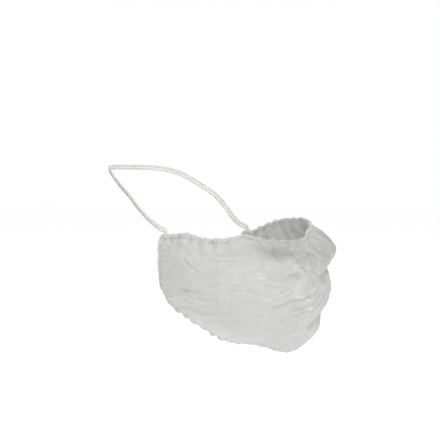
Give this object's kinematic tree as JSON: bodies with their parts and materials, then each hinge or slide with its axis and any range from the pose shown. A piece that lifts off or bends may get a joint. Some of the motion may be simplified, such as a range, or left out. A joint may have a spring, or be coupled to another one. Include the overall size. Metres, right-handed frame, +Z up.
{
  "type": "beard cover",
  "caption": "Disposable beard cover in its worn form: a crumpled nonwoven pouch for chin and jaw, gathered on elastic hems, held by an elastic loop round the back of the head.",
  "frame": {"origin": "on the axis of the wearer's head, level with the corners of the jaw, where the lip hem ends", "axes": "+Z up the head, -Y the way the wearer faces, -X the wearer's right"},
  "size_m": [0.1406, 0.2205, 0.1695],
  "materials": {
    "white_nonwoven": "sheer spunbond nonwoven, matt, crumpled",
    "gathered_hem": "nonwoven gathered in several layers over elastic",
    "covered_elastic": "thin covered elastic, cream white"
  },
  "bodies": {
    "root": {"pouch": "white_nonwoven", "lip_hem": "gathered_hem", "neck_hem": "gathered_hem", "head_elastic_upper": "covered_elastic", "head_elastic_lower": "covered_elastic"}
  },
  "joints": []
}
